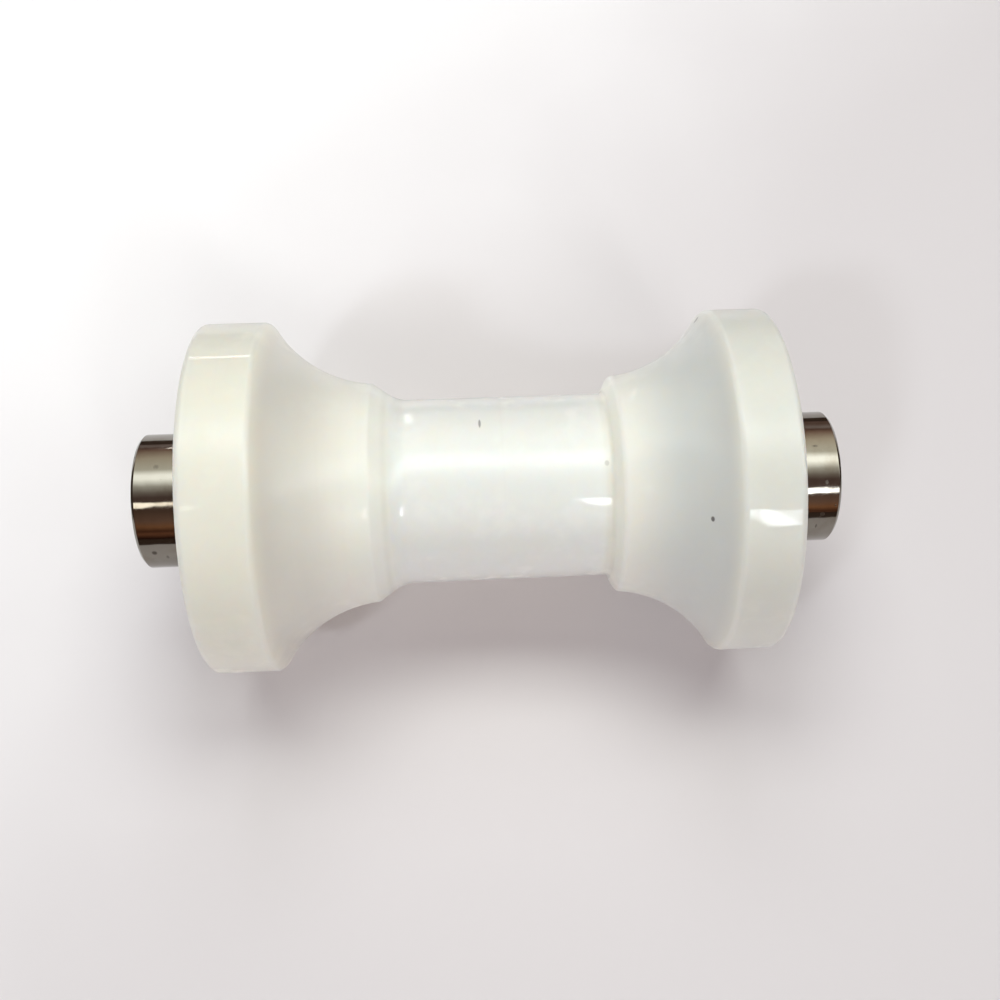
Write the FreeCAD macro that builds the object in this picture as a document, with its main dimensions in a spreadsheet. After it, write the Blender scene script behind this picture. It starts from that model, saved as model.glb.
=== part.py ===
"""Bobbin-shaped pulley wheel: a turned nylon wheel on two sealed ball bearings, with polished end bushes.

The wheel spins about Y. The origin is on that axis, half way between the outer faces of the two bushes.
All sizes are in millimetres.
"""

import FreeCAD
import Part
import Sketcher
import math
import os

# Driving dimensions: name, value, meaning.
SIZES = [
    ("flange_dia", 60.0, "diameter over the rims"),
    ("body_length", 96.0, "nylon wheel, end face to end face"),
    ("overall_length", 118.5, "over the two bushes"),
    ("groove_width", 75.0, "distance between the inner edges of the two rims"),
    ("groove_offset", 0.55, "how far the groove's middle lies from the wheel's middle, towards +Y"),
    ("rim_round", 1.2, "rounding of the rims' edges"),
    ("flare_radius", 21.0, "hollow curve from rim to neck"),
    ("neck_dia", 38.0, "where the hollow curve ends"),
    ("neck_gap", 41.2, "distance between the two necks"),
    ("neck_round", 1.0, "rounding of the necks' edges"),
    ("barrel_dia", 32.0, "straight middle of the wheel"),
    ("bevel_length", 4.2, "long bevel from neck to barrel, on the -Y side"),
    ("shoulder_length", 1.5, "steep shoulder from neck to barrel, on the +Y side"),
    ("root_round", 0.8, "rounding where bevel and shoulder meet the barrel"),
    ("core_bore", 23.6, "bore through the barrel"),
    ("seat_clearance", 0.02, "radial gap round the bearing's outer ring"),
    ("bearing_recess", 2.0, "depth of the bearing below the wheel's end face"),
    ("relief_dia", 35.0, "counterbore that keeps the wheel off the inner ring"),
    ("relief_depth", 1.5, "depth of that counterbore behind the bearing"),
    ("mouth_chamfer", 0.8, "lead-in at the mouth of each bearing seat"),
    ("bearing_bore", 20.0, "bore of the inner ring"),
    ("bearing_dia", 42.0, "outside of the outer ring"),
    ("bearing_width", 12.0, "width of both rings"),
    ("ring_chamfer", 0.6, "corners of both rings"),
    ("ball_dia", 6.35, "bearing ball"),
    ("ball_count", 9.0, "balls in each bearing"),
    ("race_depth", 1.27, "depth of the ball track in each ring"),
    ("race_excess", 0.13, "how much wider than the ball the track's radius is"),
    ("race_play", 0.03, "gap between a ball and the bottom of its track"),
    ("cage_wall", 2.0, "radial thickness of the cage"),
    ("cage_back", 1.0, "back ring of the cage, behind its ball pockets"),
    ("cage_reach", 1.5, "how far the cage's prongs pass the ball centres"),
    ("pocket_play", 0.3, "gap between a ball and its pocket"),
    ("seal_thickness", 0.9, "rubber seal"),
    ("seal_recess", 0.4, "depth of the seal below the ring's face"),
    ("seal_bite", 1.05, "how far the seal's edge sits in the outer ring"),
    ("seal_catch", 0.3, "height of the ring's edge that holds the seal in"),
    ("seal_border", 1.2, "raised edge of the seal's face"),
    ("seal_dish", 0.25, "depth of the seal's face between its raised edges"),
    ("seal_lip_gap", 0.1, "gap between the seal's lip and the inner ring"),
    ("seal_fit_gap", 0.05, "gap between the seal's edge and its groove"),
    ("spacer_dia", 23.0, "tube between the two inner rings"),
    ("spacer_bore", 20.4, "bore of that tube"),
    ("bush_dia", 23.0, "polished end of each bush"),
    ("bush_bore", 12.2, "hole for the axle bolt"),
    ("bush_chamfer", 0.5, "corners of the bush"),
    ("spigot_length", 8.0, "part of the bush inside the inner ring"),
    ("spigot_gap", 0.01, "radial gap between spigot and inner ring"),
]

# Sizes that follow from the driving ones, as formulas of the spreadsheet.
WHEEL_END = "(dims.body_length / 2)"
LEFT_RIM = "(dims.groove_offset - dims.groove_width / 2)"
RIGHT_RIM = "(dims.groove_offset + dims.groove_width / 2)"
LEFT_NECK = "(dims.groove_offset - dims.neck_gap / 2)"
RIGHT_NECK = "(dims.groove_offset + dims.neck_gap / 2)"
BUSH_END = "(dims.overall_length / 2)"
BEARING_FACE = f"({WHEEL_END} - dims.bearing_recess)"
BEARING_MIDDLE = f"({BEARING_FACE} - dims.bearing_width / 2)"
BEARING_BACK = f"({BEARING_FACE} - dims.bearing_width)"
RELIEF_END = f"({BEARING_BACK} - dims.relief_depth)"
FLANGE_RADIUS = "(dims.flange_dia / 2)"
NECK_RADIUS = "(dims.neck_dia / 2)"
SEAT_RADIUS = "(dims.bearing_dia / 2 + dims.seat_clearance)"
RING_HALF = "(dims.bearing_width / 2)"
PITCH_RADIUS = "((dims.bearing_bore + dims.bearing_dia) / 4)"
BALL_RADIUS = "(dims.ball_dia / 2)"
POCKET_RADIUS = f"({BALL_RADIUS} + dims.pocket_play)"
RACE_RADIUS = f"({BALL_RADIUS} + dims.race_excess)"
RACE_HALF = f"sqrt({RACE_RADIUS} ^ 2 - ({RACE_RADIUS} - dims.race_depth) ^ 2)"
INNER_LAND = f"({PITCH_RADIUS} - {BALL_RADIUS} - dims.race_play + dims.race_depth)"
OUTER_LAND = f"({PITCH_RADIUS} + {BALL_RADIUS} + dims.race_play - dims.race_depth)"
SEAL_OUT = f"({RING_HALF} - dims.seal_recess)"
SEAL_IN = f"({SEAL_OUT} - dims.seal_thickness)"
SEAL_GROOVE = f"({OUTER_LAND} + dims.seal_bite)"
SEAL_EDGE = f"({SEAL_GROOVE} - dims.seal_fit_gap)"
SEAL_LIP = f"({INNER_LAND} + dims.seal_lip_gap)"
SPIGOT_RADIUS = "(dims.bearing_bore / 2 - dims.spigot_gap)"
SPIGOT_END = f"({BEARING_FACE} - dims.spigot_length)"

# The two ends of the wheel: name and direction along Y.
ENDS = (("left", -1), ("right", 1))
# The two seals of a bearing: name, and whether they face the wheel's end or its middle.
SEAL_FACES = (("outer", 1), ("inner", -1))
TOLERANCE = 1e-6
FULL_TURN = 360
HALF_TURN = 180
# A third of a turn about (1, 1, 1) lays a sphere's poles along X and its seam along Y, clear of the cage.
THIRD_TURN = 120


def make_sheet(doc):
    """The spreadsheet of driving dimensions: name, value and meaning in each row."""
    sheet = doc.addObject("Spreadsheet::Sheet", "dims")
    for row, (alias, value, meaning) in enumerate(SIZES, start=1):
        sheet.set(f"A{row}", alias)
        sheet.set(f"B{row}", str(value))
        sheet.set(f"C{row}", meaning)
        sheet.setAlias(f"B{row}", alias)
    doc.recompute()


def make_body(doc, label):
    """An empty body under its own label."""
    body = doc.addObject("PartDesign::Body", label)
    body.Label = label
    return body


def number(body, formula):
    """A formula's value at the sheet's present sizes."""
    return float(body.evalExpression(formula))


def origin_feature(body, role):
    """One of the body's own origin planes or axes."""
    return next(feature for feature in body.Origin.OriginFeatures if feature.Role == role)


def bind(sketch, kind, where, value, name, formula):
    """A named sketch dimension that follows a formula of the sheet."""
    index = sketch.addConstraint(Sketcher.Constraint(kind, *where, value))
    sketch.renameConstraint(index, name)
    sketch.setExpression(f"Constraints.{name}", formula)


def hollow_arc(start, end, radius):
    """The arc between two corners whose centre lies outside an anticlockwise outline."""
    along = end - start
    outward = FreeCAD.Vector(along.y, -along.x, 0).normalize()
    centre = (start + end) / 2 + outward * math.sqrt(radius ** 2 - (along.Length / 2) ** 2)
    first = math.atan2(end.y - centre.y, end.x - centre.x)
    last = math.atan2(start.y - centre.y, start.x - centre.x)
    if last < first:
        last += 2 * math.pi
    return Part.ArcOfCircle(Part.Circle(centre, FreeCAD.Vector(0, 0, 1), radius), first, last)


def half_section(body, name, corners):
    """A closed half section in the XY plane, with radius along X and height along Y.

    Each corner is (radius formula, height formula), and a third formula makes the side that leaves the
    corner a hollow arc of that radius. The corners run anticlockwise.
    """
    sketch = body.newObject("Sketcher::SketchObject", name)
    sketch.AttachmentSupport = (origin_feature(body, "XY_Plane"), [""])
    sketch.MapMode = "FlatFace"
    points = [FreeCAD.Vector(number(body, c[0]), number(body, c[1]), 0) for c in corners]
    sides = []
    for i, corner in enumerate(corners):
        start, end = points[i], points[(i + 1) % len(points)]
        if len(corner) == 2:
            side = sketch.addGeometry(Part.LineSegment(start, end), False)
            sides.append((side, 1, 2))
            continue
        radius = number(body, corner[2])
        side = sketch.addGeometry(hollow_arc(start, end, radius), False)
        sides.append((side, 2, 1))
        bind(sketch, "Radius", (side,), radius, f"arc_{i}", corner[2])
    for i, corner in enumerate(corners):
        side, start, _ = sides[i]
        side_before, _, end_before = sides[i - 1]
        sketch.addConstraint(Sketcher.Constraint("Coincident", side_before, end_before, side, start))
        bind(sketch, "DistanceX", (side, start), points[i].x, f"radius_{i}", corner[0])
        bind(sketch, "DistanceY", (side, start), points[i].y, f"height_{i}", corner[1])
    return sketch


def turn(body, name, corners):
    """A half section turned round the Y axis."""
    sketch = half_section(body, f"{name}_section", corners)
    turned = body.newObject("PartDesign::Revolution", name)
    turned.Profile = sketch
    turned.ReferenceAxis = (sketch, ["V_Axis"])
    turned.Angle = FULL_TURN
    body.Document.recompute()
    return turned


def mirrored(corners):
    """The same corners at the -Y end, in the order that carries on an anticlockwise outline."""
    return [(radius, f"-{height}") for radius, height in reversed(corners)]


def circles_at(feature, radius, heights):
    """Names of the feature's circular edges with this radius at these heights."""
    names = []
    for index, edge in enumerate(feature.Shape.Edges, start=1):
        if not isinstance(edge.Curve, Part.Circle) or abs(edge.Curve.Radius - radius) > TOLERANCE:
            continue
        if any(abs(edge.Curve.Center.y - height) < TOLERANCE for height in heights):
            names.append(f"Edge{index}")
    return names


def round_edges(body, name, base, radius_formula, height_formulas, size):
    """Rounded circular edges of a turned body."""
    heights = [number(body, formula) for formula in height_formulas]
    rounding = body.newObject("PartDesign::Fillet", name)
    rounding.Base = (base, circles_at(base, number(body, radius_formula), heights))
    rounding.setExpression("Radius", size)
    body.Document.recompute()
    return rounding


def set_round_axis(body, name, feature):
    """Copies of a feature, one for each ball, round the Y axis."""
    pattern = body.newObject("PartDesign::PolarPattern", name)
    pattern.Originals = [feature]
    pattern.Axis = (origin_feature(body, "Y_Axis"), [""])
    pattern.Angle = FULL_TURN
    pattern.setExpression("Occurrences", "dims.ball_count")
    body.Tip = pattern
    body.Document.recompute()


def face_along(body, direction):
    """Turns a body that was made facing +Y the other way where the direction is -1."""
    if direction < 0:
        body.Placement.Rotation = FreeCAD.Rotation(FreeCAD.Vector(0, 0, 1), HALF_TURN)


def put_in_bearing(body, direction):
    """Moves a body that was made round the origin to the bearing at one end of the wheel."""
    sign = "-" if direction < 0 else ""
    body.setExpression("Placement.Base.y", f"{sign}{BEARING_MIDDLE}")


def make_roller_body(doc):
    """The nylon wheel: two rims, hollow flares, a stepped barrel and a stepped bore for the bearings."""
    body = make_body(doc, "roller_body")
    barrel = "(dims.barrel_dia / 2)"
    barrel_start = f"({LEFT_NECK} + dims.bevel_length)"
    barrel_end = f"({RIGHT_NECK} - dims.shoulder_length)"
    core = "(dims.core_bore / 2)"
    relief = "(dims.relief_dia / 2)"
    outside = [
        (FLANGE_RADIUS, f"-{WHEEL_END}"),
        (FLANGE_RADIUS, LEFT_RIM, "dims.flare_radius"),
        (NECK_RADIUS, LEFT_NECK),
        (barrel, barrel_start),
        (barrel, barrel_end),
        (NECK_RADIUS, RIGHT_NECK, "dims.flare_radius"),
        (FLANGE_RADIUS, RIGHT_RIM),
        (FLANGE_RADIUS, WHEEL_END),
    ]
    bore = [
        (f"({SEAT_RADIUS} + dims.mouth_chamfer)", WHEEL_END),
        (SEAT_RADIUS, f"({WHEEL_END} - dims.mouth_chamfer)"),
        (SEAT_RADIUS, BEARING_BACK),
        (relief, BEARING_BACK),
        (relief, RELIEF_END),
        (core, RELIEF_END),
    ]
    wheel = turn(body, "wheel", outside + bore + mirrored(bore))
    rim_edges = [f"-{WHEEL_END}", LEFT_RIM, RIGHT_RIM, WHEEL_END]
    rims = round_edges(body, "rim_rounding", wheel, FLANGE_RADIUS, rim_edges, "dims.rim_round")
    necks = round_edges(body, "neck_rounding", rims, NECK_RADIUS, [LEFT_NECK, RIGHT_NECK], "dims.neck_round")
    round_edges(body, "root_rounding", necks, barrel, [barrel_start, barrel_end], "dims.root_round")
    return body


def make_inner_ring(doc, end, direction):
    """The bearing's inner ring, with a ball track round its outside."""
    body = make_body(doc, f"bearing_inner_ring_{end}")
    bore = "(dims.bearing_bore / 2)"
    bore_corner = [
        (f"({bore} + dims.ring_chamfer)", RING_HALF),
        (bore, f"({RING_HALF} - dims.ring_chamfer)"),
    ]
    track = [
        (INNER_LAND, f"-{RING_HALF}"),
        (INNER_LAND, f"-{RACE_HALF}", RACE_RADIUS),
        (INNER_LAND, RACE_HALF),
        (INNER_LAND, RING_HALF),
    ]
    turn(body, "ring", track + bore_corner + mirrored(bore_corner))
    put_in_bearing(body, direction)
    return body


def make_outer_ring(doc, end, direction):
    """The bearing's outer ring, with a ball track and two seal grooves inside."""
    body = make_body(doc, f"bearing_outer_ring_{end}")
    outside = "(dims.bearing_dia / 2)"
    catch = f"({SEAL_GROOVE} - dims.seal_catch)"
    groove_top = f"({SEAL_OUT} + dims.seal_fit_gap)"
    upper = [
        (outside, f"({RING_HALF} - dims.ring_chamfer)"),
        (f"({outside} - dims.ring_chamfer)", RING_HALF),
        (catch, RING_HALF),
        (catch, groove_top),
        (SEAL_GROOVE, groove_top),
        (SEAL_GROOVE, SEAL_IN),
        (OUTER_LAND, SEAL_IN),
    ]
    track = [(OUTER_LAND, RACE_HALF, RACE_RADIUS), (OUTER_LAND, f"-{RACE_HALF}")]
    turn(body, "ring", upper + track + mirrored(upper))
    put_in_bearing(body, direction)
    return body


def make_balls(doc, end, direction):
    """One bearing's balls, as a group of separate spheres."""
    body = make_body(doc, f"bearing_balls_{end}")
    body.AllowCompound = True
    ball = body.newObject("PartDesign::AdditiveSphere", "ball")
    ball.setExpression("Radius", BALL_RADIUS)
    ball.setExpression("Placement.Base.x", PITCH_RADIUS)
    doc.recompute()
    set_round_axis(body, "balls", ball)
    face_along(body, direction)
    put_in_bearing(body, direction)
    return body


def make_cage(doc, end, direction):
    """The crown-shaped cage: a ring with an open pocket for each ball."""
    body = make_body(doc, f"bearing_cage_{end}")
    inside = f"({PITCH_RADIUS} - dims.cage_wall / 2)"
    outside = f"({PITCH_RADIUS} + dims.cage_wall / 2)"
    back = f"-({POCKET_RADIUS} + dims.cage_back)"
    corners = [(outside, back), (outside, "dims.cage_reach"), (inside, "dims.cage_reach"), (inside, back)]
    turn(body, "crown", corners)
    pocket = body.newObject("PartDesign::SubtractiveSphere", "pocket")
    pocket.Placement.Rotation = FreeCAD.Rotation(FreeCAD.Vector(1, 1, 1), THIRD_TURN)
    pocket.setExpression("Radius", POCKET_RADIUS)
    pocket.setExpression("Placement.Base.x", PITCH_RADIUS)
    doc.recompute()
    set_round_axis(body, "pockets", pocket)
    face_along(body, direction)
    put_in_bearing(body, direction)
    return body


def make_seal(doc, end, direction, face, facing):
    """A rubber seal held in the outer ring, with its lip just clear of the inner ring."""
    body = make_body(doc, f"bearing_{face}_seal_{end}")
    dish = f"({SEAL_OUT} - dims.seal_dish)"
    corners = [
        (SEAL_EDGE, SEAL_IN),
        (SEAL_EDGE, SEAL_OUT),
        (f"({SEAL_EDGE} - dims.seal_border)", SEAL_OUT),
        (f"({SEAL_EDGE} - dims.seal_border - dims.seal_dish)", dish),
        (f"({SEAL_LIP} + dims.seal_border + dims.seal_dish)", dish),
        (f"({SEAL_LIP} + dims.seal_border)", SEAL_OUT),
        (SEAL_LIP, SEAL_OUT),
        (SEAL_LIP, SEAL_IN),
    ]
    turn(body, "seal", corners)
    face_along(body, direction * facing)
    put_in_bearing(body, direction)
    return body


def make_spacer_tube(doc):
    """The tube that holds the two inner rings apart."""
    body = make_body(doc, "spacer_tube")
    outside = "(dims.spacer_dia / 2)"
    bore = "(dims.spacer_bore / 2)"
    upper = [(outside, BEARING_BACK), (bore, BEARING_BACK)]
    turn(body, "tube", upper + mirrored(upper))
    return body


def make_end_bush(doc, end, direction):
    """A polished end bush: its spigot is in the inner ring and its shoulder against that ring's face."""
    body = make_body(doc, f"end_bush_{end}")
    bush = "(dims.bush_dia / 2)"
    bore = "(dims.bush_bore / 2)"
    corners = [
        (f"({SPIGOT_RADIUS} - dims.bush_chamfer)", SPIGOT_END),
        (SPIGOT_RADIUS, f"({SPIGOT_END} + dims.bush_chamfer)"),
        (SPIGOT_RADIUS, BEARING_FACE),
        (bush, BEARING_FACE),
        (bush, f"({BUSH_END} - dims.bush_chamfer)"),
        (f"({bush} - dims.bush_chamfer)", BUSH_END),
        (f"({bore} + dims.bush_chamfer)", BUSH_END),
        (bore, f"({BUSH_END} - dims.bush_chamfer)"),
        (bore, SPIGOT_END),
    ]
    turn(body, "bush", corners)
    face_along(body, direction)
    return body


def make_pieces(doc):
    """Every piece of the pulley wheel, from the wheel outwards to the bushes."""
    pieces = [make_roller_body(doc), make_spacer_tube(doc)]
    for end, direction in ENDS:
        for make in (make_inner_ring, make_outer_ring, make_balls, make_cage, make_end_bush):
            pieces.append(make(doc, end, direction))
        for face, facing in SEAL_FACES:
            pieces.append(make_seal(doc, end, direction, face, facing))
    doc.recompute()
    return pieces


def check(doc, pieces):
    """Stops with a message if any object failed or any piece has no valid shape."""
    failed = [item.Name for item in doc.Objects if {"Invalid", "Error"} & set(item.State)]
    if failed:
        raise RuntimeError(f"failed objects: {failed}")
    for piece in pieces:
        if piece.Shape.isNull() or not piece.Shape.isValid() or not piece.Shape.Solids:
            raise RuntimeError(f"{piece.Label} has no valid shape")


def main():
    """Builds the document and writes each piece to its own file."""
    doc = FreeCAD.newDocument("pulley_wheel")
    make_sheet(doc)
    pieces = make_pieces(doc)
    check(doc, pieces)
    os.makedirs("parts", exist_ok=True)
    for piece in pieces:
        piece.Shape.exportStep(f"parts/{piece.Label}.step")
        print(f"{piece.Label}: {len(piece.Shape.Solids)} solid(s), {piece.Shape.Volume:.1f} mm3")


main()
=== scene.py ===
"""The looks of a bobbin-shaped nylon pulley wheel on two sealed ball bearings with polished end bushes."""

import logging
import math
from dataclasses import dataclass
from enum import Enum
from typing import Any, Sequence, Union

import bmesh
import bpy
from mathutils import Matrix, Vector


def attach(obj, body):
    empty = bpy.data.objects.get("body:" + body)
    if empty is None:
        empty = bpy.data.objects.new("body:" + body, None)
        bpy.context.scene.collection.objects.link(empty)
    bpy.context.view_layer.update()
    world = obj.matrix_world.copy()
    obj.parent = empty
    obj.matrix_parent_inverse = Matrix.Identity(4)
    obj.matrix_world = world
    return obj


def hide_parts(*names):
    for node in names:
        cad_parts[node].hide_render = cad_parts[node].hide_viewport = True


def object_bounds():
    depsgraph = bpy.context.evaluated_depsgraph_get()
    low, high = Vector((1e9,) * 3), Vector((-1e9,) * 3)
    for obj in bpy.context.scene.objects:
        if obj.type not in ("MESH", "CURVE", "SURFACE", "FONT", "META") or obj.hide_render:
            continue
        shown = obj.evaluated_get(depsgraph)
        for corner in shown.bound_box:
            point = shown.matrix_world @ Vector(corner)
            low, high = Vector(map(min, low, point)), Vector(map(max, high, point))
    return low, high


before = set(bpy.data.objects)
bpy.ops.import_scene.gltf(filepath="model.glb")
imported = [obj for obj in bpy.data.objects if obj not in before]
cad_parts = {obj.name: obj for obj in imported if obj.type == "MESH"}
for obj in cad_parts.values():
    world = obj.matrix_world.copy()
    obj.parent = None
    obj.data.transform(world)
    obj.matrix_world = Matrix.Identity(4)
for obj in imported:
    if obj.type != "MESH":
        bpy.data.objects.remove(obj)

LOG = logging.getLogger("pulley_wheel")
MM = 0.001
CAD_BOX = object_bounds()
# Points nearer than this are the same point.
TOUCH = 0.001 * MM

Colour = tuple[float, float, float]
Value = Union["Socket", float]


class End(Enum):
    """The two ends of the wheel: the suffix of their nodes' names."""

    LEFT = "left"
    RIGHT = "right"

    @property
    def direction(self) -> int:
        """Which way this end points along Y."""
        return -1 if self is End.LEFT else 1


class SealFace(Enum):
    """The two seals of a bearing: the one that shows at the wheel's end and the one inside."""

    OUTER = "outer"
    INNER = "inner"

    @property
    def facing(self) -> int:
        """Whether the seal faces out of the wheel or into it."""
        return 1 if self is SealFace.OUTER else -1


class Socket:
    """A shader value that takes part in Python expressions; each operator adds a Math node."""

    def __init__(self, graph: "Graph", link: bpy.types.NodeSocket) -> None:
        """Wraps an output socket of a graph's node."""
        self.graph = graph
        self.link = link

    def _math(self, operation: str, first: Value, second: Value) -> "Socket":
        """Adds one Math node.

        Args:
            operation: the Math node's operation.
            first: its first value.
            second: its second value.

        Returns:
            The node's result.
        """
        return self.graph.node("Math", {"operation": operation}, {0: first, 1: second})

    def __add__(self, other: Value) -> "Socket":
        """This value plus another."""
        return self._math("ADD", self, other)

    def __radd__(self, other: Value) -> "Socket":
        """A number plus this value."""
        return self._math("ADD", other, self)

    def __sub__(self, other: Value) -> "Socket":
        """This value less another."""
        return self._math("SUBTRACT", self, other)

    def __rsub__(self, other: Value) -> "Socket":
        """A number less this value."""
        return self._math("SUBTRACT", other, self)

    def __mul__(self, other: Value) -> "Socket":
        """This value times another."""
        return self._math("MULTIPLY", self, other)

    def __rmul__(self, other: Value) -> "Socket":
        """A number times this value."""
        return self._math("MULTIPLY", other, self)

    def __truediv__(self, other: Value) -> "Socket":
        """This value divided by another."""
        return self._math("DIVIDE", self, other)

    def __pow__(self, other: Value) -> "Socket":
        """This value to a power."""
        return self._math("POWER", self, other)


class Graph:
    """A node tree, with one method that adds any node."""

    def __init__(self, tree: bpy.types.NodeTree) -> None:
        """Starts with the tree empty.

        Args:
            tree: the tree of a material or a world.
        """
        self.nodes = tree.nodes
        self.links = tree.links
        self.nodes.clear()

    def node(self, kind: str, settings: dict[str, Any], values: dict[Any, Any], output: Any = 0) -> Socket:
        """Adds a node.

        Args:
            kind: the node's type without its ShaderNode prefix.
            settings: the node's properties; "stops" sets a ramp's (position, colour) pairs.
            values: numbers, colours or sockets for its inputs, by name or number.
            output: the name or number of the output that is wanted.

        Returns:
            That output, wrapped.
        """
        node = self.nodes.new("ShaderNode" + kind)
        for name, setting in settings.items():
            if name == "stops":
                self._set_stops(node.color_ramp, setting)
            else:
                setattr(node, name, setting)
        for name, value in values.items():
            if isinstance(value, Socket):
                self.links.new(value.link, node.inputs[name])
            else:
                node.inputs[name].default_value = value
        return Socket(self, node.outputs[output])

    @staticmethod
    def _set_stops(ramp: bpy.types.ColorRamp, stops: Sequence[tuple[float, Colour]]) -> None:
        """Gives a colour ramp its stops, in order.

        Args:
            ramp: the ramp to set.
            stops: pairs of position and colour.
        """
        while len(ramp.elements) < len(stops):
            ramp.elements.new(1.0)
        for element, (position, colour) in zip(ramp.elements, stops):
            element.position = position
            element.color = (*colour, 1.0)

    def output(self, kind: str, shader: Socket) -> None:
        """Links a shader to the tree's output.

        Args:
            kind: OutputMaterial or OutputWorld.
            shader: what shows.
        """
        node = self.nodes.new("ShaderNode" + kind)
        self.links.new(shader.link, node.inputs["Surface"])

    def split(self, vector: Socket) -> tuple[Socket, Socket, Socket]:
        """A vector's three numbers."""
        node = self.nodes.new("ShaderNodeSeparateXYZ")
        self.links.new(vector.link, node.inputs[0])
        return tuple(Socket(self, output) for output in node.outputs)

    def join(self, x: Value, y: Value, z: Value) -> Socket:
        """A vector of three numbers."""
        return self.node("CombineXYZ", {}, {"X": x, "Y": y, "Z": z})

    def noise(self, place: Socket, scale: float, detail: float = 3.0, roughness: float = 0.55) -> Socket:
        """Plain noise.

        Args:
            place: where it is read.
            scale: its cells for each metre.
            detail: its number of finer layers.
            roughness: the strength of the finer layers.

        Returns:
            A value about 0.5.
        """
        values = {"Vector": place, "Scale": scale, "Detail": detail, "Roughness": roughness}
        return self.node("TexNoise", {"normalize": True}, values, "Fac")

    def smooth(self, value: Value, low: float, high: float) -> Socket:
        """A smooth step.

        Args:
            value: the value to test.
            low: where the step starts, at 0.
            high: where it ends, at 1.

        Returns:
            The step's height.
        """
        values = {"Value": value, "From Min": low, "From Max": high}
        return self.node("MapRange", {"interpolation_type": "SMOOTHSTEP"}, values)

    def near(self, value: Socket, middle: float, reach: float) -> Socket:
        """How near a value is to a number: 1 there, and 0 beyond the reach."""
        distance = self.node("Math", {"operation": "ABSOLUTE"}, {0: value - middle})
        return 1.0 - self.smooth(distance, 0.0, reach)

    def mix(self, share: Value, first: Any, second: Any) -> Socket:
        """Two colours mixed.

        Args:
            share: how much of the second.
            first: a colour or a colour socket.
            second: a colour or a colour socket.

        Returns:
            The mixed colour.
        """
        colours = [c if isinstance(c, Socket) else (*c, 1.0) for c in (first, second)]
        values = {"Factor": share, 6: colours[0], 7: colours[1]}
        return self.node("Mix", {"data_type": "RGBA"}, values, 2)

    def bump(self, height: Socket, depth: float, below: Any = None) -> Socket:
        """A normal bent by a height.

        Args:
            height: the height, from 0 to 1.
            depth: what a height of 1 stands for, in metres.
            below: a normal to build on, if any.

        Returns:
            The bent normal.
        """
        values = {"Height": height, "Distance": depth, "Strength": 1.0}
        if below is not None:
            values["Normal"] = below
        return self.node("Bump", {}, values)


@dataclass(frozen=True)
class Mark:
    """A small dark mark: its middle and half size along X, Y and Z in millimetres, and its strength."""

    place: tuple[float, float, float]
    reach: tuple[float, float, float]
    strength: float = 0.85


class Surface(Graph):
    """The nodes of a material on a piece that was turned round the Y axis."""

    def __init__(self, name: str) -> None:
        """Starts a material.

        Args:
            name: the material's name.
        """
        self.material = bpy.data.materials.new(name)
        self.material.use_nodes = True
        super().__init__(self.material.node_tree)
        self.place = self.node("TexCoord", {}, {}, "Object")
        self.x, self.y, self.z = self.split(self.place)
        self.radius = (self.x * self.x + self.z * self.z) ** 0.5

    def turning_marks(self, scale: float, sway: float = 0.02) -> Socket:
        """Rings left by turning or grinding, which follow the radius and the height.

        Args:
            scale: rings for each metre across them.
            sway: how much they change along their way round.

        Returns:
            A value about 0.5.
        """
        return self.noise(self.join(self.radius + self.x * sway, self.y, self.z * sway), scale, 2.0)

    def spots(self, scale: float, share: float, size: float) -> Socket:
        """Scattered small round spots.

        Args:
            scale: cells for each metre, of which each may hold one spot.
            share: the share of the cells that hold one.
            size: a spot's radius as a share of its cell.

        Returns:
            1 on a spot and 0 elsewhere.
        """
        values = {"Vector": self.place, "Scale": scale, "Randomness": 1.0}
        distance = self.node("TexVoronoi", {"feature": "F1"}, values, "Distance")
        tint = self.node("TexVoronoi", {"feature": "F1"}, values, "Color")
        chosen = self.node("Math", {"operation": "LESS_THAN"}, {0: self.split(tint)[0], 1: share})
        return chosen * (1.0 - self.smooth(distance, size * 0.5, size))

    def mark(self, mark: Mark) -> Socket:
        """One dark mark.

        Args:
            mark: its place, size and strength.

        Returns:
            The mark's strength on it and 0 elsewhere.
        """
        middle = tuple(v * MM for v in mark.place)
        reach = tuple(v * MM for v in mark.reach)
        offset = self.node("VectorMath", {"operation": "SUBTRACT"}, {0: self.place, 1: middle})
        scaled = self.node("VectorMath", {"operation": "DIVIDE"}, {0: offset, 1: reach})
        distance = self.node("VectorMath", {"operation": "LENGTH"}, {0: scaled}, "Value")
        return (1.0 - self.smooth(distance, 0.5, 1.0)) * mark.strength

    def finish(self, values: dict[str, Any]) -> bpy.types.Material:
        """Ends the material in one Principled shader.

        Args:
            values: the shader's inputs.

        Returns:
            The finished material.
        """
        self.output("OutputMaterial", self.node("BsdfPrincipled", {}, values))
        return self.material


# Specks on the ends of the two bushes.
BUSH_SPECKS: tuple[Mark, ...] = (
    Mark((10.97, -56.64, 3.43), (0.6, 0.55, 0.6)),
    Mark((11.29, -54.73, 2.16), (0.6, 0.30, 0.6), 0.5),
    Mark((-1.03, -55.22, 11.45), (0.5, 0.55, 0.6), 0.5),
    Mark((-0.46, 55.06, 11.49), (0.25, 0.60, 0.6), 0.7),
    Mark((5.67, 56.54, 10.00), (0.5, 0.35, 0.5), 0.6),
    Mark((9.84, 56.18, 5.95), (0.5, 0.55, 0.5)),
    Mark((10.99, 55.54, 3.39), (0.5, 0.22, 0.7), 0.6),
)


@dataclass(frozen=True)
class Crease:
    """A faint line of painted shade round the nylon, in a crease: its place along Y, its half width, and
    its share.

    The place and the half width are in millimetres.
    """

    place: float
    reach: float
    strength: float


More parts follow.
